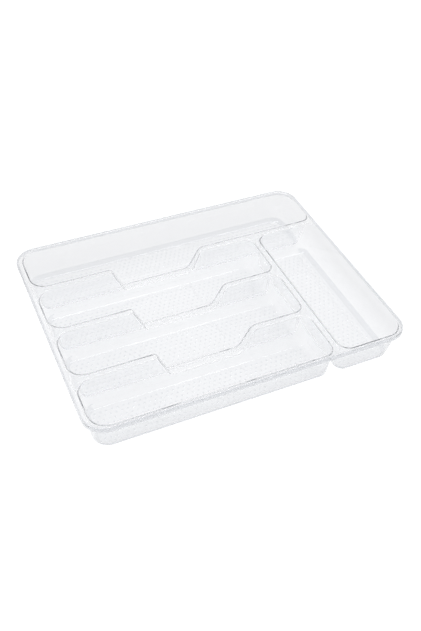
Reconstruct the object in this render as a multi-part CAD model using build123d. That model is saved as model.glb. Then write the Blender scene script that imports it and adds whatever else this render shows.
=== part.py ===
"""Clear cutlery tray for a kitchen drawer, in millimetres.

The real tray is one thin-walled plastic moulding: five wells hang from a flat top skin,
and a flange with a turned-down lip runs round it. The dividers are hollow and open below.
The moulding is written out here as regions that meet face to face, so that each wall,
divider and floor is a simple solid of its own.

+X runs to the right, +Y to the back and +Z up. The origin lies on the base,
under the middle of the tray.
"""
import os

from build123d import *

# Overall size
WIDTH = 390.0
DEPTH = 306.6
HEIGHT = 45.0
WALL = 1.8

# Flange round the wells, and its lip
SIDE_FLANGE = 5.0
LEFT_FLANGE = 8.0
END_FLANGE = 5.3
LIP_HEIGHT = 6.0
LIP_ROUNDING = 2.4
RIM_CORNER = 25.0

# Wells, measured at the top, and the flat lands between them. The four rows of wells
# share the depth that the flanges and the three lands leave.
SIDE_WIDTH = 84.0
LAND = 9.0
REAR_SHARE = 0.2565
SECOND_SHARE = 0.2454
THIRD_SHARE = 0.2528

# How far each kind of wall leans in from the top to the floor
OUTER_LEAN = 5.3
DIVIDER_LEAN = 3.0
LEFT_LEAN = 5.0
RIGHT_LEAN = 11.0

# Corner radii at the top, and the fillet round each floor
OUTER_CORNER = 21.0
LEFT_CORNER = 18.0
SIDE_CORNER = 14.0
INNER_CORNER = 12.0
FLOOR_FILLET = 7.0
FLOOR_MARGIN = 1.2
LEAST_CORNER = 7.6

# Lowered middle of the three long dividers, with a ramp down to it at each end
SADDLE_HEIGHT = 13.5
SADDLE_INSET = 96.0
SADDLE_WIDTH = 118.0
LEFT_RAMP_WIDTH = 15.0
RIGHT_RAMP_WIDTH = 14.0
LEFT_RAMP_ROUNDING = 4.0
RIGHT_RAMP_ROUNDING = 9.0
SADDLE_MARGIN = 30.0

# Where the wells, the lowered middle and the feet of its ramps lie
INNER_LEFT = LEFT_FLANGE - WIDTH / 2
INNER_RIGHT = WIDTH / 2 - SIDE_FLANGE
INNER_BACK = DEPTH / 2 - END_FLANGE
INNER_FRONT = -INNER_BACK
ROWS_DEPTH = INNER_BACK - INNER_FRONT - 3 * LAND
SIDE_LEFT = INNER_RIGHT - SIDE_WIDTH
ROW_RIGHT = SIDE_LEFT - LAND
REAR_FRONT = INNER_BACK - REAR_SHARE * ROWS_DEPTH
SECOND_BACK = REAR_FRONT - LAND
SECOND_FRONT = SECOND_BACK - SECOND_SHARE * ROWS_DEPTH
THIRD_BACK = SECOND_FRONT - LAND
THIRD_FRONT = THIRD_BACK - THIRD_SHARE * ROWS_DEPTH
FRONT_BACK = THIRD_FRONT - LAND
SADDLE_LEFT = INNER_LEFT + SADDLE_INSET
SADDLE_RIGHT = SADDLE_LEFT + SADDLE_WIDTH
SADDLE_LEFT_FOOT = SADDLE_LEFT + LEFT_RAMP_WIDTH
SADDLE_RIGHT_FOOT = SADDLE_RIGHT - RIGHT_RAMP_WIDTH

# Each well: left, right, front and back at the top, how far those four walls lean,
# and its corner radii, from the front left one round to the right
WELLS = {
    "rear": (
        (INNER_LEFT, INNER_RIGHT, REAR_FRONT, INNER_BACK),
        (LEFT_LEAN, RIGHT_LEAN, DIVIDER_LEAN, OUTER_LEAN),
        (LEFT_CORNER, INNER_CORNER, OUTER_CORNER, OUTER_CORNER),
    ),
    "second": (
        (INNER_LEFT, ROW_RIGHT, SECOND_FRONT, SECOND_BACK),
        (LEFT_LEAN, DIVIDER_LEAN, DIVIDER_LEAN, DIVIDER_LEAN),
        (LEFT_CORNER, INNER_CORNER, INNER_CORNER, LEFT_CORNER),
    ),
    "third": (
        (INNER_LEFT, ROW_RIGHT, THIRD_FRONT, THIRD_BACK),
        (LEFT_LEAN, DIVIDER_LEAN, DIVIDER_LEAN, DIVIDER_LEAN),
        (LEFT_CORNER, INNER_CORNER, INNER_CORNER, LEFT_CORNER),
    ),
    "front": (
        (INNER_LEFT, ROW_RIGHT, INNER_FRONT, FRONT_BACK),
        (LEFT_LEAN, DIVIDER_LEAN, OUTER_LEAN, DIVIDER_LEAN),
        (OUTER_CORNER, INNER_CORNER, INNER_CORNER, LEFT_CORNER),
    ),
    "side": (
        (SIDE_LEFT, INNER_RIGHT, INNER_FRONT, SECOND_BACK),
        (DIVIDER_LEAN, RIGHT_LEAN, OUTER_LEAN, DIVIDER_LEAN),
        (SIDE_CORNER, OUTER_CORNER, INNER_CORNER, SIDE_CORNER),
    ),
}


def rounded(sides, radii, z):
    """Flat rectangle at height z whose four corners have their own radii."""
    left, right, front, back = sides
    front_left, front_right, back_right, back_left = radii
    edges = [
        Line((left + front_left, front), (right - front_right, front)),
        CenterArc((right - front_right, front + front_right), front_right, 270, 90),
        Line((right, front + front_right), (right, back - back_right)),
        CenterArc((right - back_right, back - back_right), back_right, 0, 90),
        Line((right - back_right, back), (left + back_left, back)),
        CenterArc((left + back_left, back - back_left), back_left, 90, 90),
        Line((left, back - back_left), (left, front + front_left)),
        CenterArc((left + front_left, front + front_left), front_left, 180, 90),
    ]
    return Pos(0, 0, z) * make_face(edges)


def grown(sides, by):
    """The four sides of a rectangle, moved outwards."""
    left, right, front, back = sides
    return left - by, right + by, front - by, back + by


def leaned(sides, lean):
    """The four sides of a rectangle, each moved in by its own lean."""
    left, right, front, back = sides
    return left + lean[0], right - lean[1], front + lean[2], back - lean[3]


def well(name, skin):
    """Solid that fills a well out to a skin's thickness, with its floor edge rounded."""
    sides, lean, radii = WELLS[name]
    corner_leans = [min(lean[i], lean[j]) for i, j in ((0, 2), (1, 2), (1, 3), (0, 3))]
    low_radii = [max(r - c, LEAST_CORNER) + skin for r, c in zip(radii, corner_leans)]
    floor = rounded(grown(leaned(sides, lean), skin), low_radii, WALL - skin)
    mouth = rounded(grown(sides, skin), [r + skin for r in radii], HEIGHT)
    block = loft([floor, mouth], ruled=True)
    return fillet(block.faces().sort_by(Axis.Z)[0].edges(), FLOOR_FILLET + skin)


def saddle_line_face():
    """Upright face above the lowered line of a divider, with its bends rounded."""
    over = HEIGHT + SADDLE_MARGIN
    line = Polyline(
        (SADDLE_LEFT - SADDLE_MARGIN, HEIGHT),
        (SADDLE_LEFT, HEIGHT),
        (SADDLE_LEFT_FOOT, SADDLE_HEIGHT),
        (SADDLE_RIGHT_FOOT, SADDLE_HEIGHT),
        (SADDLE_RIGHT, HEIGHT),
        (SADDLE_RIGHT + SADDLE_MARGIN, HEIGHT),
        (SADDLE_RIGHT + SADDLE_MARGIN, over),
        (SADDLE_LEFT - SADDLE_MARGIN, over),
        close=True,
    )
    face = make_face(line)
    face = fillet(face.vertices().sort_by(Axis.X)[2:4], LEFT_RAMP_ROUNDING)
    return fillet(face.vertices().sort_by(Axis.X)[-4:-2], RIGHT_RAMP_ROUNDING)


def across(face, front, back):
    """Extrude an upright X-Z face from one depth to another."""
    return Pos(0, front, 0) * extrude(Plane.XZ * face, -(back - front))


def moulding():
    """The whole tray inside its flange, in one piece."""
    outline = grown((INNER_LEFT, INNER_RIGHT, INNER_FRONT, INNER_BACK), WALL)
    skin = extrude(rounded(outline, [OUTER_CORNER + WALL] * 4, HEIGHT - WALL), WALL)
    body = skin
    for name in WELLS:
        body = body + well(name, WALL)
    above = saddle_line_face()
    middle = Pos((SADDLE_LEFT + SADDLE_RIGHT) / 2, HEIGHT / 2, 0)
    strip = (offset(above, WALL) - above) & middle * Rectangle(SADDLE_WIDTH + SADDLE_MARGIN, HEIGHT)
    for front in (SECOND_BACK, THIRD_BACK, FRONT_BACK):
        reach = (front - 2 * DIVIDER_LEAN, front + LAND + 2 * DIVIDER_LEAN)
        body = body - across(above, *reach) + across(strip, *reach)
    for name in WELLS:
        body = body - well(name, 0)
    return body


def rim():
    """Flange and turned-down lip round the wells."""
    sides = (-WIDTH / 2, WIDTH / 2, -DEPTH / 2, DEPTH / 2)
    base = HEIGHT - LIP_HEIGHT
    outer = extrude(rounded(sides, [RIM_CORNER] * 4, base), LIP_HEIGHT)
    outer = fillet(outer.faces().sort_by(Axis.Z)[-1].edges(), LIP_ROUNDING)
    under = extrude(rounded(grown(sides, -WALL), [RIM_CORNER - WALL] * 4, base), LIP_HEIGHT - WALL)
    outline = grown((INNER_LEFT, INNER_RIGHT, INNER_FRONT, INNER_BACK), WALL)
    middle = extrude(rounded(outline, [OUTER_CORNER + WALL] * 4, base), LIP_HEIGHT)
    return outer - under - middle


def column(left, right, front, back):
    """Upright box that takes one region out of the moulding."""
    return Pos((left + right) / 2, (front + back) / 2, 0) * Box(
        right - left, back - front, 2 * HEIGHT, align=(Align.CENTER, Align.CENTER, Align.CENTER)
    )


def flat_floor(name):
    """Sides of the flat part of a well's floor, a margin inside its fillet."""
    sides, lean, _ = WELLS[name]
    return grown(leaned(sides, lean), -FLOOR_FILLET - FLOOR_MARGIN)


def regions():
    """Each region's name and the upright box that it fills."""
    floors = {name: flat_floor(name) for name in WELLS}
    left, right, rear_front, rear_back = floors["rear"]
    row_right = floors["second"][1]
    side_left = floors["side"][0]
    second, third, front = floors["second"], floors["third"], floors["front"]
    boxes = {
        "left_wall": (-WIDTH / 2, left, -DEPTH / 2, DEPTH / 2),
        "right_wall": (right, WIDTH / 2, -DEPTH / 2, DEPTH / 2),
        "back_wall": (left, right, rear_back, DEPTH / 2),
        "front_wall": (left, right, -DEPTH / 2, front[2]),
        "cross_divider": (row_right, side_left, front[2], second[3]),
    }
    for name, end, low, high in (
        ("rear_divider", right, second[3], rear_front),
        ("middle_divider", row_right, third[3], second[2]),
        ("front_divider", row_right, front[3], third[2]),
    ):
        boxes[name + "_left"] = (left, SADDLE_LEFT_FOOT, low, high)
        boxes[name + "_saddle"] = (SADDLE_LEFT_FOOT, SADDLE_RIGHT_FOOT, low, high)
        boxes[name + "_right"] = (SADDLE_RIGHT_FOOT, end, low, high)
    for name, sides in floors.items():
        boxes[name + "_floor"] = sides
    return boxes


os.makedirs("parts", exist_ok=True)
tray = moulding()
pieces = {name: tray & column(*sides) for name, sides in regions().items()}
pieces["rim"] = rim()
for name, piece in pieces.items():
    solids = piece.solids()
    assert len(solids) == 1, f"{name} has {len(solids)} solids"
    print(f"{name}: {piece.volume:.0f} mm3")
    export_step(solids[0], f"parts/{name}.step")
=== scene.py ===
"""Clear cutlery tray, dressed for a studio picture, in metres."""
import math

import bmesh
import bpy
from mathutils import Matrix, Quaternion, Vector


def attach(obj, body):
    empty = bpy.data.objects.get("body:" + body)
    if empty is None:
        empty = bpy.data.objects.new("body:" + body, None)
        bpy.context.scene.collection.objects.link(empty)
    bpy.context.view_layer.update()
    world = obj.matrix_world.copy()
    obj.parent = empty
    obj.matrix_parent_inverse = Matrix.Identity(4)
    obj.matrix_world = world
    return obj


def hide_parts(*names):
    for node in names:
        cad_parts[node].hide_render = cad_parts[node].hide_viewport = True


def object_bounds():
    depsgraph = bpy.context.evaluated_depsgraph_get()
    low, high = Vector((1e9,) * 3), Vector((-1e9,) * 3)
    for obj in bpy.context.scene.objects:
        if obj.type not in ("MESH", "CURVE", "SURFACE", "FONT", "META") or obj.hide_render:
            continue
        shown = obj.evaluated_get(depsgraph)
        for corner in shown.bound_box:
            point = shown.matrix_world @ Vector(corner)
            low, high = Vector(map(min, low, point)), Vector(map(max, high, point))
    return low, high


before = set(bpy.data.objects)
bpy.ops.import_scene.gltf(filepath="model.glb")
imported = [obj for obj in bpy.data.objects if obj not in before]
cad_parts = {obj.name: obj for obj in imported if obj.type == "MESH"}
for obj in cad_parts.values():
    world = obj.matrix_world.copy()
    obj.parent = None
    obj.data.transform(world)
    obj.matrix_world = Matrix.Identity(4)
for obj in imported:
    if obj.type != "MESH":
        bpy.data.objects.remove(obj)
cad_low, cad_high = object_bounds()
MM = 0.001

# Overall size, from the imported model
WIDTH = cad_high.x - cad_low.x
DEPTH = cad_high.y - cad_low.y
HEIGHT = cad_high.z
WALL = 1.8 * MM

# Flange round the wells, and its lip
SIDE_FLANGE = 5.0 * MM
LEFT_FLANGE = 8.0 * MM
END_FLANGE = 5.3 * MM
LIP_HEIGHT = 6.0 * MM
RIM_CORNER = 25.0 * MM

# Wells, measured at the top, and the flat lands between them
SIDE_WIDTH = 84.0 * MM
LAND = 9.0 * MM
REAR_SHARE = 0.2565
SECOND_SHARE = 0.2454
THIRD_SHARE = 0.2528

# How far each kind of wall leans in from the top to the floor
OUTER_LEAN = 5.3 * MM
DIVIDER_LEAN = 3.0 * MM
LEFT_LEAN = 5.0 * MM
RIGHT_LEAN = 11.0 * MM

# Corner radii at the top, and the fillet round each floor
OUTER_CORNER = 21.0 * MM
LEFT_CORNER = 18.0 * MM
SIDE_CORNER = 14.0 * MM
INNER_CORNER = 12.0 * MM
LEAST_CORNER = 7.6 * MM
FLOOR_FILLET = 6.6 * MM

# Lowered middle of the three long dividers, with a ramp down to it at each end
SADDLE_HEIGHT = 13.5 * MM
SADDLE_INSET = 96.0 * MM
SADDLE_WIDTH = 118.0 * MM
LEFT_RAMP_WIDTH = 15.0 * MM
RIGHT_RAMP_WIDTH = 14.0 * MM
LEFT_RAMP_ROUNDING = 4.0 * MM
RIGHT_RAMP_ROUNDING = 9.0 * MM

# Rounded edges of the moulding, and how finely curves are divided
MOUTH_EDGE = 2.0 * MM
LIP_EDGE = 0.4 * MM
CORNER_STEPS = 10
FILLET_STEPS = 7
EDGE_STEPS = 6
LIP_STEPS = 3
SHARP = math.radians(40)
SMOOTH = math.radians(35)
SPARE = 0.35 * MM
NEAR = 0.02 * MM

# Steepness limits, as the upward or sideways part of a face's normal
TOP_SLOPE = 0.35
FLAT_DOWN = -0.9
FLOOR_SLOPE = 0.999
UNDER_SLOPE = -0.95
LEFTWARD = -0.1

# Raised dots on the floor of a well
DOT_PITCH = 6.6 * MM
DOT_ROW = 5.8 * MM
DOT_RADIUS = 1.5 * MM
DOT_HEIGHT = 0.3 * MM

# Slow unevenness of the surface
WAVE_SCALE = 38.0
WAVE_DETAIL = 1.5
WAVE_HEIGHT = 0.12 * MM

# Clear plastic: its surface, and what it keeps back in its depth and from the lamps
ROUGHNESS = 0.05
IOR = 1.49
DEPTH_COLOUR = (0.40, 0.42, 0.46, 1)
DEPTH_DENSITY = 3.2
SHADOW_COLOUR = (0.955, 0.958, 0.961, 1)

# Colours of the plastic: its thin walls, a painted shade for its outline and feet, and a painted
# shade for its dots; how much of the edge shade each foot takes, and how far in and down it reaches
BODY = (0.992, 0.993, 0.995, 1)
# The edge colour is a painted shade for the dark outline and feet of the clear moulding
EDGE = (0.82, 0.83, 0.848, 1)
# The dot colour is a painted shade that darkens the raised dots
PAINTED_DOT_SHADE = (0.78, 0.80, 0.82, 1)
OUTER_FOOT = 1.0
RIGHT_FOOT = 0.4
RIM_REACH = 4.5 * MM
RIM_DROP = 14.0 * MM
FOOT_REACH = 24.0 * MM

# The floor lies this far under the tray, so that their faces don't fall together
FLOOR_GAP = 0.2 * MM

# Floor: its colour, the light it adds where the camera sees it, and a painted pool of light
# that glows where a clear or glossy surface sees the floor under the tray, which fades between
# two places, in metres, towards the right, the back and the front
FLOOR_SIZE = 16.0
FLOOR_CUTS = 4
FLOOR_COLOUR = (0.752, 0.755, 0.765, 1)
FLOOR_GLOW = 0.28
# The seen glow is a painted pool of light under the tray
PAINTED_POOL_LIGHT = 0.12
POOL_BACK = (0.10, 0.165)
POOL_SIDE = (0.187, 0.213)
POOL_FRONT = (-0.12, -0.155)

# Surroundings: brightness on their dark and bright sides, where one turns into the
# other, and the share of it that lights the floor
DARK_AIR = 0.88
BRIGHT_AIR = 1.06
BRIGHT_SIDE = (0.12, 0.5, 0.86)
TURN = (-0.3, 0.6)
AIR_LIGHT = 0.7

# Lamps: width and depth, power and place
SOFTBOX = ((2.6, 2.0), 8.0, (0.1, 0.0, 1.9))
STRIP = ((2.6, 0.45), 14.0, (0.1, 0.2, 1.85))

# Camera, and how many times light may bounce inside the clear skins
SENSOR_WIDTH = 36.0
LENS = 44.885
CLIP_START = 0.05
CLIP_END = 50.0
EYE = Vector((-300.36, -630.78, 684.02)) * MM
SIGHT_LINE = Vector((0.31653, 0.64276, -0.69762)).normalized()
ROLL = math.radians(-3.009)
BOUNCES = 128

# Where the wells, the lowered middle and the feet of its ramps lie
INNER_LEFT = LEFT_FLANGE - WIDTH / 2
INNER_RIGHT = WIDTH / 2 - SIDE_FLANGE
INNER_BACK = DEPTH / 2 - END_FLANGE
INNER_FRONT = -INNER_BACK
ROWS_DEPTH = INNER_BACK - INNER_FRONT - 3 * LAND
SIDE_LEFT = INNER_RIGHT - SIDE_WIDTH
ROW_RIGHT = SIDE_LEFT - LAND
REAR_FRONT = INNER_BACK - REAR_SHARE * ROWS_DEPTH
SECOND_BACK = REAR_FRONT - LAND
SECOND_FRONT = SECOND_BACK - SECOND_SHARE * ROWS_DEPTH
THIRD_BACK = SECOND_FRONT - LAND
THIRD_FRONT = THIRD_BACK - THIRD_SHARE * ROWS_DEPTH
FRONT_BACK = THIRD_FRONT - LAND
SADDLE_LEFT = INNER_LEFT + SADDLE_INSET
SADDLE_RIGHT = SADDLE_LEFT + SADDLE_WIDTH
SADDLE_LEFT_FOOT = SADDLE_LEFT + LEFT_RAMP_WIDTH
SADDLE_RIGHT_FOOT = SADDLE_RIGHT - RIGHT_RAMP_WIDTH

# Each well: left, right, front and back at the top, how far those four walls lean,
# its corner radii from the front left one round to the right, and which of its front
# and back walls are lowered in the middle
WELLS = (
    (
        (INNER_LEFT, INNER_RIGHT, REAR_FRONT, INNER_BACK),
        (LEFT_LEAN, RIGHT_LEAN, DIVIDER_LEAN, OUTER_LEAN),
        (LEFT_CORNER, INNER_CORNER, OUTER_CORNER, OUTER_CORNER),
        (True, False),
    ),
    (
        (INNER_LEFT, ROW_RIGHT, SECOND_FRONT, SECOND_BACK),
        (LEFT_LEAN, DIVIDER_LEAN, DIVIDER_LEAN, DIVIDER_LEAN),
        (LEFT_CORNER, INNER_CORNER, INNER_CORNER, LEFT_CORNER),
        (True, True),
    ),
    (
        (INNER_LEFT, ROW_RIGHT, THIRD_FRONT, THIRD_BACK),
        (LEFT_LEAN, DIVIDER_LEAN, DIVIDER_LEAN, DIVIDER_LEAN),
        (LEFT_CORNER, INNER_CORNER, INNER_CORNER, LEFT_CORNER),
        (True, True),
    ),
    (
        (INNER_LEFT, ROW_RIGHT, INNER_FRONT, FRONT_BACK),
        (LEFT_LEAN, DIVIDER_LEAN, OUTER_LEAN, DIVIDER_LEAN),
        (OUTER_CORNER, INNER_CORNER, INNER_CORNER, LEFT_CORNER),
        (False, True),
    ),
    (
        (SIDE_LEFT, INNER_RIGHT, INNER_FRONT, SECOND_BACK),
        (DIVIDER_LEAN, RIGHT_LEAN, OUTER_LEAN, DIVIDER_LEAN),
        (SIDE_CORNER, OUTER_CORNER, INNER_CORNER, SIDE_CORNER),
        (False, False),
    ),
)


def only(*objects):
    """Select these objects alone, the first of them active."""
    bpy.ops.object.select_all(action="DESELECT")
    for one in objects:
        one.select_set(True)
    bpy.context.view_layer.objects.active = objects[0]


def pick(piece, kind, test):
    """Select the corners, edges or faces of the piece being edited that pass a test."""
    bpy.ops.mesh.select_mode(type=kind)
    bpy.ops.mesh.select_all(action="DESELECT")
    mesh = bmesh.from_edit_mesh(piece.data)
    parts = {"VERT": mesh.verts, "EDGE": mesh.edges, "FACE": mesh.faces}[kind]
    chosen = [part for part in parts if test(part)]
    for part in chosen:
        part.select_set(True)
    mesh.select_flush_mode()
    bmesh.update_edit_mesh(piece.data)
    return len(chosen)


def level(edge, z):
    """True for an edge whose two ends both lie at height z."""
    return all(abs(corner.co.z - z) < NEAR for corner in edge.verts)


def joined(pieces):
    """Join pieces into the first of them."""
    only(*pieces)
    bpy.ops.object.join()
    return pieces[0]


def rounded(sides, radii, z):
    """A flat face at height z whose four corners have their own radii."""
    left, right, front, back = sides
    bpy.ops.mesh.primitive_plane_add(size=1, location=((left + right) / 2, (front + back) / 2, z))
    face = bpy.context.object
    face.scale = (right - left, back - front, 1)
    only(face)
    bpy.ops.object.transform_apply(location=True, rotation=True, scale=True)
    bpy.ops.object.mode_set(mode="EDIT")
    places = ((left, front), (right, front), (right, back), (left, back))
    for place, radius in zip(places, radii):
        corner = Vector((*place, z))
        pick(face, "VERT", lambda one: (one.co - corner).length < NEAR)
        bpy.ops.mesh.bevel(offset=radius, segments=CORNER_STEPS, affect="VERTICES")
    bpy.ops.object.mode_set(mode="OBJECT")
    return face


def bend_reach(run, rounding):
    """How far along each side of a bend its rounding starts, for a ramp this long."""
    return rounding * math.tan(math.atan2(HEIGHT - SADDLE_HEIGHT, run) / 2)


def lower_middle(piece, y, lean):
    """Lower the middle of a wall's top edge, in the wall's own plane, and round its bends."""
    left_reach = bend_reach(LEFT_RAMP_WIDTH, LEFT_RAMP_ROUNDING)
    right_reach = bend_reach(RIGHT_RAMP_WIDTH, RIGHT_RAMP_ROUNDING)
    drop = (HEIGHT - SADDLE_HEIGHT) / (HEIGHT - WALL) * lean
    bends = (
        (SADDLE_LEFT, y, HEIGHT, left_reach),
        (SADDLE_LEFT_FOOT, y + drop, SADDLE_HEIGHT, left_reach),
        (SADDLE_RIGHT_FOOT, y + drop, SADDLE_HEIGHT, right_reach),
        (SADDLE_RIGHT, y, HEIGHT, right_reach),
    )

    def along(edge):
        on_wall = all(abs(corner.co.y - y) < NEAR for corner in edge.verts)
        return on_wall and level(edge, HEIGHT) and edge.calc_length() > SADDLE_WIDTH

    pick(piece, "EDGE", along)
    bpy.ops.mesh.subdivide(number_cuts=len(bends))
    mesh = bmesh.from_edit_mesh(piece.data)
    cuts = [one.co.copy() for one in mesh.verts if one.select]
    cuts = sorted(cuts, key=lambda place: place.x)[1:-1]
    for cut, (x, depth, z, _) in zip(cuts, bends):
        pick(piece, "VERT", lambda one: (one.co - cut).length < NEAR)
        bpy.ops.transform.translate(value=Vector((x, depth, z)) - cut)
    for x, depth, z, reach in bends:
        bend = Vector((x, depth, z))
        pick(piece, "VERT", lambda one: (one.co - bend).length < NEAR)
        bpy.ops.mesh.bevel(offset=reach, segments=CORNER_STEPS, affect="VERTICES")


def well(sides, leans, radii, lowered):
    """Open cup of one well: leaning walls, a flat floor and the fillet between them."""
    left, right, front, back = sides
    low_sides = (left + leans[0], right - leans[1], front + leans[2], back - leans[3])
    shrink = [min(leans[i], leans[j]) for i, j in ((0, 2), (1, 2), (1, 3), (0, 3))]
    low_radii = [max(radius - by, LEAST_CORNER) for radius, by in zip(radii, shrink)]
    cup = joined([rounded(sides, radii, HEIGHT), rounded(low_sides, low_radii, WALL)])
    bpy.ops.object.mode_set(mode="EDIT")
    bpy.ops.mesh.select_mode(type="FACE")
    bpy.ops.mesh.select_all(action="SELECT")
    bpy.ops.mesh.delete(type="ONLY_FACE")
    pick(cup, "EDGE", lambda edge: True)
    bpy.ops.mesh.bridge_edge_loops()
    pick(cup, "EDGE", lambda edge: level(edge, WALL))
    bpy.ops.mesh.edge_face_add()
    pick(cup, "EDGE", lambda edge: level(edge, WALL))
    bpy.ops.mesh.bevel(offset=FLOOR_FILLET, segments=FILLET_STEPS, affect="EDGES")
    if lowered[0]:
        lower_middle(cup, front, leans[2])
    if lowered[1]:
        lower_middle(cup, back, -leans[3])
    bpy.ops.object.mode_set(mode="OBJECT")
    return cup


def lip():
    """Outline of the flange with its turned-down lip, open at the top."""
    sides = (-WIDTH / 2, WIDTH / 2, -DEPTH / 2, DEPTH / 2)
    edge = rounded(sides, [RIM_CORNER] * 4, HEIGHT)
    bpy.ops.object.mode_set(mode="EDIT")
    bpy.ops.mesh.select_all(action="SELECT")
    bpy.ops.mesh.delete(type="ONLY_FACE")
    pick(edge, "EDGE", lambda one: True)
    bpy.ops.mesh.extrude_region_move(TRANSFORM_OT_translate={"value": (0, 0, -LIP_HEIGHT)})
    bpy.ops.object.mode_set(mode="OBJECT")
    return edge


def span_dividers(tray):
    """Bridge the lowered middle of each long divider from one wall to the other."""
    reach = bend_reach(RIGHT_RAMP_WIDTH, RIGHT_RAMP_ROUNDING) + NEAR
    for back in (REAR_FRONT, SECOND_FRONT, THIRD_FRONT):

        def on_chain(edge):
            if not edge.is_boundary or level(edge, HEIGHT):
                return False
            middle = (edge.verts[0].co + edge.verts[1].co) / 2
            across = back - LAND - DIVIDER_LEAN < middle.y < back + DIVIDER_LEAN
            along = SADDLE_LEFT - reach < middle.x < SADDLE_RIGHT + reach
            return across and along and middle.z > SADDLE_HEIGHT - NEAR

        pick(tray, "EDGE", on_chain)
        bpy.ops.mesh.bridge_edge_loops()


def sharp(edge):
    """True for an edge where two faces meet in a clear outward corner."""
    return edge.is_manifold and edge.calc_face_angle_signed(0) > SHARP


def thicken(tray):
    """Round the skin's outward corners, give it its thickness and soften the lip's foot."""

    def on_top(face):
        return face.normal.z > TOP_SLOPE and face.calc_center_median().z > SADDLE_HEIGHT - NEAR

    pick(tray, "FACE", on_top)
    bpy.ops.mesh.inset(thickness=MOUTH_EDGE + SPARE, use_boundary=True, use_even_offset=True)
    pick(tray, "EDGE", sharp)
    bpy.ops.mesh.bevel(offset=MOUTH_EDGE, segments=EDGE_STEPS, affect="EDGES", clamp_overlap=False)
    bpy.ops.object.mode_set(mode="OBJECT")
    skin = tray.modifiers.new("skin", "SOLIDIFY")
    skin.thickness = WALL
    skin.offset = -1
    skin.use_even_offset = True
    skin.use_quality_normals = True
    bpy.ops.object.modifier_apply(modifier=skin.name)
    bpy.ops.object.mode_set(mode="EDIT")
    pick(tray, "EDGE", lambda edge: sharp(edge) and level(edge, HEIGHT - LIP_HEIGHT))
    bpy.ops.mesh.bevel(offset=LIP_EDGE, segments=LIP_STEPS, affect="EDGES")


def tray_mesh():
    """The whole moulding as one continuous skin."""
    tray = joined([well(*one) for one in WELLS] + [lip()])
    tray.name = tray.data.name = "tray"
    bpy.ops.object.mode_set(mode="EDIT")
    span_dividers(tray)
    pick(tray, "EDGE", lambda edge: edge.is_boundary and level(edge, HEIGHT))
    bpy.ops.mesh.fill(use_beauty=True)
    bpy.ops.mesh.select_all(action="SELECT")
    bpy.ops.mesh.remove_doubles(threshold=NEAR / 10)
    bpy.ops.mesh.normals_make_consistent(inside=False)
    mesh = bmesh.from_edit_mesh(tray.data)
    if any(face.normal.z < FLAT_DOWN for face in mesh.faces):
        bpy.ops.mesh.flip_normals()
    thicken(tray)
    bpy.ops.object.mode_set(mode="OBJECT")
    return tray


def inside_outline(place):
    """How far a place lies inside the tray's outline, seen from above."""
    corner = Vector((WIDTH / 2 - RIM_CORNER, DEPTH / 2 - RIM_CORNER))
    past = Vector((abs(place.x), abs(place.y))) - corner
    rounded_part = Vector((max(past.x, 0.0), max(past.y, 0.0))).length
    return RIM_CORNER - rounded_part - min(max(past.x, past.y), 0.0)


def on_dotted_floor(face):
    """The upper faces of the wells' floors carry the raised dots."""
    return float(face.normal.z > FLOOR_SLOPE and abs(face.center.z - WALL) < NEAR)


def painted_foot_shade(face):
    """Painted shade on the outer foot and, more weakly, on the right wall's inner foot."""
    if face.center.z > FLOOR_FILLET or inside_outline(face.center) > FOOT_REACH:
        return 0.0
    if UNDER_SLOPE < face.normal.z < 0:
        return OUTER_FOOT
    facing = face.normal.x < LEFTWARD and face.normal.z > 0
    return RIGHT_FOOT * (facing and face.center.x > SIDE_LEFT)


def mark(tray, name, measure):
    """Keep a measure of each face as an attribute that the material reads."""
    marks = tray.data.attributes.new(name, "FLOAT", "FACE")
    for face, one in zip(tray.data.polygons, marks.data):
        one.value = measure(face)


tray = tray_mesh()
only(tray)
bpy.ops.object.shade_smooth_by_angle(angle=SMOOTH)
even = tray.modifiers.new("even_normals", "WEIGHTED_NORMAL")
even.keep_sharp = True
even.weight = 100
bpy.ops.object.modifier_apply(modifier=even.name)


class Value:
    """One output of a node tree, ready for arithmetic."""

    def __init__(self, tree, socket=None):
        self.tree = tree
        self.socket = socket

    def make(self, kind, settings=None, values=None, output=0):
        """Add any node, its settings first, and give one of its outputs."""
        node = self.tree.nodes.new(kind)
        for name, setting in (settings or {}).items():
            setattr(node, name, setting)
        for name, value in (values or {}).items():
            if isinstance(value, Value):
                self.tree.links.new(value.socket, node.inputs[name])
            else:
                node.inputs[name].default_value = value
        return Value(self.tree, node.outputs[output] if node.outputs else None)

    def maths(self, operation, *values):
        numbered = dict(enumerate(values))
        return self.make("ShaderNodeMath", {"operation": operation}, numbered)

    def __add__(self, other):
        return self.maths("ADD", self, other)

    __radd__ = __add__

    def __mul__(self, other):
        return self.maths("MULTIPLY", self, other)

    __rmul__ = __mul__

    def __sub__(self, other):
        return self.maths("SUBTRACT", self, other)

    def __rsub__(self, other):
        return self.maths("SUBTRACT", other, self)

    def __truediv__(self, other):
        return self.maths("DIVIDE", self, other)


def new_material(name):
    """An empty material, and the start of its nodes."""
    material = bpy.data.materials.new(name)
    material.use_nodes = True
    material.node_tree.nodes.clear()
    return material, Value(material.node_tree)


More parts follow.
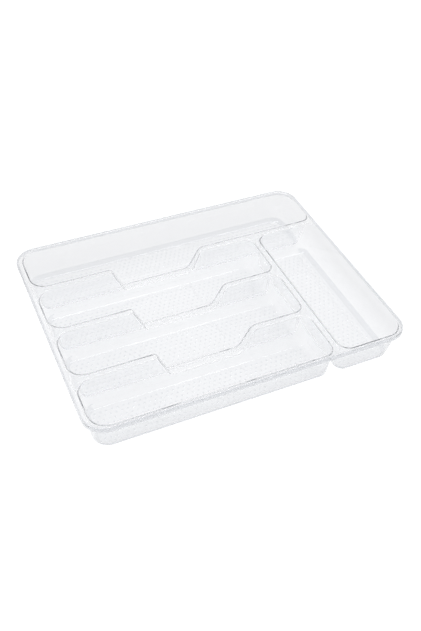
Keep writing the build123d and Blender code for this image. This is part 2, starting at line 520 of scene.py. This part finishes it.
def painted_rim_shade(nodes, place):
    """Share of painted shade: one at the tray's outline, fading to nothing further in and further
    down.
    """
    split = nodes.make("ShaderNodeSeparateXYZ", None, {"Vector": place}, "X")
    across, along, up = (Value(nodes.tree, split.socket.node.outputs[axis]) for axis in "XYZ")
    past_side = across.maths("ABSOLUTE", across) - (WIDTH / 2 - RIM_CORNER)
    past_end = along.maths("ABSOLUTE", along) - (DEPTH / 2 - RIM_CORNER)
    beside = past_side.maths("MAXIMUM", past_side, 0.0)
    behind = past_end.maths("MAXIMUM", past_end, 0.0)
    reach = beside.maths("SQRT", beside * beside + behind * behind)
    flat = past_side.maths("MINIMUM", past_side.maths("MAXIMUM", past_side, past_end), 0.0)
    inside = RIM_CORNER - (reach + flat)
    fade = {"interpolation_type": "SMOOTHSTEP"}
    inward = {"Value": inside, "From Min": 0.0, "From Max": RIM_REACH, "To Min": 1.0, "To Max": 0.0}
    upward = {"Value": up, "From Min": HEIGHT - RIM_DROP, "From Max": HEIGHT - LIP_HEIGHT}
    near = nodes.make("ShaderNodeMapRange", fade, inward)
    return near * nodes.make("ShaderNodeMapRange", fade, upward)


def clear_plastic():
    """Clear moulded plastic, a little uneven, with raised dots where the mesh asks for them, and
    painted shade on the dots, the outline and the feet.
    """
    material, nodes = new_material("clear_plastic")
    place = nodes.make("ShaderNodeTexCoord", output="Object")
    grain = {"Vector": place, "Scale": WAVE_SCALE, "Detail": WAVE_DETAIL}
    waves = nodes.make("ShaderNodeTexNoise", None, grain)
    normal = nodes.make("ShaderNodeBump", None, {"Height": waves, "Distance": WAVE_HEIGHT})
    parts = nodes.make("ShaderNodeSeparateXYZ", None, {"Vector": place}, "X")
    across = parts / DOT_PITCH
    rows = Value(nodes.tree, parts.socket.node.outputs["Y"]) / DOT_ROW
    shifted = across + (rows.maths("FLOOR", rows) * 0.5)
    aside = (shifted.maths("FRACT", shifted) - 0.5) * (DOT_PITCH / DOT_RADIUS)
    along = (rows.maths("FRACT", rows) - 0.5) * (DOT_ROW / DOT_RADIUS)
    fall = 1 - (aside * aside + along * along)
    dotted = nodes.make("ShaderNodeAttribute", {"attribute_name": "dotted"}, None, "Fac")
    domes = fall.maths("MAXIMUM", fall, 0.0) * dotted
    normal = nodes.make(
        "ShaderNodeBump", None, {"Height": domes, "Distance": DOT_HEIGHT, "Normal": normal}
    )
    # Painted shade: the edge colour darkens the outline, the outer foot and the right wall's inner
    # foot
    foot = nodes.make("ShaderNodeAttribute", {"attribute_name": "foot"}, None, "Fac")
    painted_edge_shade = nodes.maths("MAXIMUM", painted_rim_shade(nodes, place), foot)
    shade = nodes.make("ShaderNodeMix", {"data_type": "RGBA"}, {0: painted_edge_shade, 6: BODY, 7: EDGE}, 2)
    # Painted shade on the dots, besides their bump
    shade = nodes.make("ShaderNodeMix", {"data_type": "RGBA"}, {0: domes, 6: shade, 7: PAINTED_DOT_SHADE}, 2)
    plastic = nodes.make(
        "ShaderNodeBsdfPrincipled",
        None,
        {
            "Base Color": shade,
            "Roughness": ROUGHNESS,
            "IOR": IOR,
            "Transmission Weight": 1.0,
            "Normal": normal,
        },
    )
    open_way = nodes.make("ShaderNodeBsdfTransparent", None, {"Color": SHADOW_COLOUR})
    shadow = nodes.make("ShaderNodeLightPath", output="Is Shadow Ray")
    bounced = Value(nodes.tree, shadow.socket.node.outputs["Is Diffuse Ray"])
    lit = shadow.maths("MAXIMUM", shadow, bounced)
    look = nodes.make("ShaderNodeMixShader", None, {0: lit, 1: plastic, 2: open_way})
    murk = {"Color": DEPTH_COLOUR, "Density": DEPTH_DENSITY}
    depth = nodes.make("ShaderNodeVolumeAbsorption", None, murk)
    nodes.make("ShaderNodeOutputMaterial", None, {"Surface": look, "Volume": depth})
    return material


mark(tray, "dotted", on_dotted_floor)
# Share of painted shade on each face of the feet
mark(tray, "foot", painted_foot_shade)
tray.data.materials.append(clear_plastic())
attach(tray, "root")
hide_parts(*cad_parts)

# Plain pale floor, white to the camera, with a painted pool of light under the tray where plastic
# sees it
bpy.ops.mesh.primitive_grid_add(
    x_subdivisions=FLOOR_CUTS, y_subdivisions=FLOOR_CUTS, size=FLOOR_SIZE, location=(0, 0, -FLOOR_GAP)
)
floor = bpy.context.object
floor.name = "floor"
floor_look, nodes = new_material("pale_floor")
matt = nodes.make("ShaderNodeBsdfDiffuse", None, {"Color": FLOOR_COLOUR})
path = nodes.make("ShaderNodeLightPath", output="Is Camera Ray")
seen = Value(nodes.tree, path.socket.node.outputs["Is Glossy Ray"])
through = Value(nodes.tree, path.socket.node.outputs["Is Transmission Ray"])
place = nodes.make("ShaderNodeTexCoord", output="Object")
across = nodes.make("ShaderNodeSeparateXYZ", None, {"Vector": place}, "X")
along = Value(nodes.tree, across.socket.node.outputs["Y"])
# Painted pool of light: glow seen only through the plastic, fading away from under the tray
fading = PAINTED_POOL_LIGHT
for way, (start, end) in ((across, POOL_SIDE), (along, POOL_BACK), (along, POOL_FRONT)):
    ends = {"Value": way, "From Min": start, "From Max": end, "To Min": 1.0, "To Max": 0.0}
    fading = nodes.make("ShaderNodeMapRange", None, ends) * fading
beyond = seen.maths("MAXIMUM", seen, through) * fading
strength = path.maths("MAXIMUM", path * FLOOR_GLOW, beyond)
glow = nodes.make("ShaderNodeEmission", None, {"Color": (1, 1, 1, 1), "Strength": strength})
both = nodes.make("ShaderNodeAddShader", None, {0: matt, 1: glow})
nodes.make("ShaderNodeOutputMaterial", None, {"Surface": both})
floor.data.materials.append(floor_look)

# White surroundings, a little darker towards the front
world = bpy.data.worlds.new("studio")
world.use_nodes = True
world.node_tree.nodes.clear()
nodes = Value(world.node_tree)
sight = nodes.make("ShaderNodeTexCoord", output="Generated")
to_back = nodes.make(
    "ShaderNodeVectorMath", {"operation": "DOT_PRODUCT"}, {0: sight, 1: BRIGHT_SIDE}, "Value"
)
sky = nodes.make(
    "ShaderNodeMapRange",
    {"interpolation_type": "SMOOTHSTEP"},
    {
        "Value": to_back,
        "From Min": TURN[0],
        "From Max": TURN[1],
        "To Min": DARK_AIR,
        "To Max": BRIGHT_AIR,
    },
)
lighting = nodes.make("ShaderNodeLightPath", output="Is Diffuse Ray")
strength = sky * (1 - lighting * (1 - AIR_LIGHT))
air = nodes.make("ShaderNodeBackground", None, {"Color": (1, 1, 1, 1), "Strength": strength})
nodes.make("ShaderNodeOutputWorld", None, {"Surface": air})
bpy.context.scene.world = world


def soft_lamp(name, size, power, place):
    """A rectangular lamp that faces straight down and isn't seen through the plastic."""
    lamp = bpy.data.lights.new(name, "AREA")
    lamp.shape = "RECTANGLE"
    lamp.size, lamp.size_y = size
    lamp.energy = power
    holder = bpy.data.objects.new(name, lamp)
    holder.location = place
    holder.visible_transmission = False
    bpy.context.scene.collection.objects.link(holder)
    return holder


# A large soft lamp for the floor, and a narrower one that draws the highlights
softbox = soft_lamp("softbox", *SOFTBOX)
softbox.visible_glossy = False
soft_lamp("strip", *STRIP)

# Camera at the picture's own angle
eye = bpy.data.cameras.new("camera")
eye.sensor_width = SENSOR_WIDTH
eye.lens = LENS
eye.clip_start = CLIP_START
eye.clip_end = CLIP_END
camera = bpy.data.objects.new("camera", eye)
camera.location = EYE
camera.rotation_mode = "QUATERNION"
roll = Quaternion(SIGHT_LINE, ROLL)
camera.rotation_quaternion = roll @ SIGHT_LINE.to_track_quat("-Z", "Y")
bpy.context.scene.collection.objects.link(camera)
bpy.context.scene.camera = camera

scene = bpy.context.scene
scene.view_settings.view_transform = "Standard"
scene.cycles.max_bounces = BOUNCES
scene.cycles.glossy_bounces = BOUNCES
scene.cycles.transmission_bounces = BOUNCES
scene.cycles.transparent_max_bounces = BOUNCES
